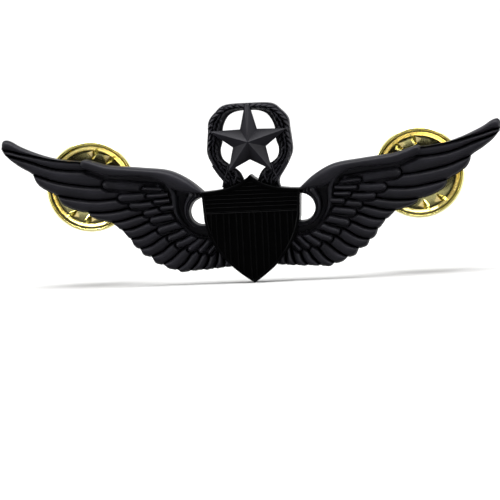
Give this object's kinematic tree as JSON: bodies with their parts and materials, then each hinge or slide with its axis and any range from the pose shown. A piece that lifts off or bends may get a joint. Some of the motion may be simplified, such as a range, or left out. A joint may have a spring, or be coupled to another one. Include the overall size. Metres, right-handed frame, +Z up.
{
  "type": "pilot wings pin",
  "caption": "Black winged pilot badge with a striped shield, star and laurel wreath, held by posts and brass butterfly clutches that squeeze open and slide off.",
  "frame": {"origin": "on the flat back of the badge, on its middle line, level with the two posts", "axes": "+X to the right as seen from the front, +Z up towards the star, the face looks along -Y and the posts stand out along +Y"},
  "size_m": [0.0634, 0.011, 0.0226],
  "materials": {
    "black_wing": "satin black",
    "black_shield": "semi-gloss black",
    "clutch_brass": "polished",
    "post_brass": "satin",
    "solder": "dull",
    "spring_steel": "bright"
  },
  "bodies": {
    "badge": {"left_wing": "black_wing", "right_wing": "black_wing", "shield": "black_shield", "wreath": "black_wing", "star": "black_wing", "left_post": "post_brass", "right_post": "post_brass", "left_solder_fillet": "solder", "right_solder_fillet": "solder"},
    "left_clutch": {"left_clutch_base": "clutch_brass", "left_clutch_cover": "clutch_brass", "left_clutch_spring": "spring_steel"},
    "right_clutch": {"right_clutch_base": "clutch_brass", "right_clutch_cover": "clutch_brass", "right_clutch_spring": "spring_steel"},
    "left_upper_ear": {"left_upper_ear": "clutch_brass"},
    "right_upper_ear": {"right_upper_ear": "clutch_brass"},
    "left_lower_ear": {"left_lower_ear": "clutch_brass"},
    "right_lower_ear": {"right_lower_ear": "clutch_brass"}
  },
  "joints": [
    {"name": "left_clutch_pull", "type": "slide", "parent": "badge", "child": "left_clutch", "axis": [0, 1, 0], "range_m": [0, 0.008]},
    {"name": "right_clutch_pull", "type": "slide", "parent": "badge", "child": "right_clutch", "axis": [0, 1, 0], "range_m": [0, 0.008]},
    {"name": "left_upper_ear_squeeze", "type": "slide", "parent": "left_clutch", "child": "left_upper_ear", "axis": [0, 0, -1], "range_m": [0, 0.00055], "stiffness_N_per_m": 200, "springref_m": -0.0002, "deforming": ["left_clutch_spring"]},
    {"name": "left_lower_ear_squeeze", "type": "slide", "parent": "left_clutch", "child": "left_lower_ear", "axis": [0, 0, 1], "range_m": [0, 0.00055], "stiffness_N_per_m": 200, "springref_m": -0.0002, "deforming": ["left_clutch_spring"]},
    {"name": "right_upper_ear_squeeze", "type": "slide", "parent": "right_clutch", "child": "right_upper_ear", "axis": [0, 0, -1], "range_m": [0, 0.00055], "stiffness_N_per_m": 200, "springref_m": -0.0002, "deforming": ["right_clutch_spring"]},
    {"name": "right_lower_ear_squeeze", "type": "slide", "parent": "right_clutch", "child": "right_lower_ear", "axis": [0, 0, 1], "range_m": [0, 0.00055], "stiffness_N_per_m": 200, "springref_m": -0.0002, "deforming": ["right_clutch_spring"]}
  ]
}
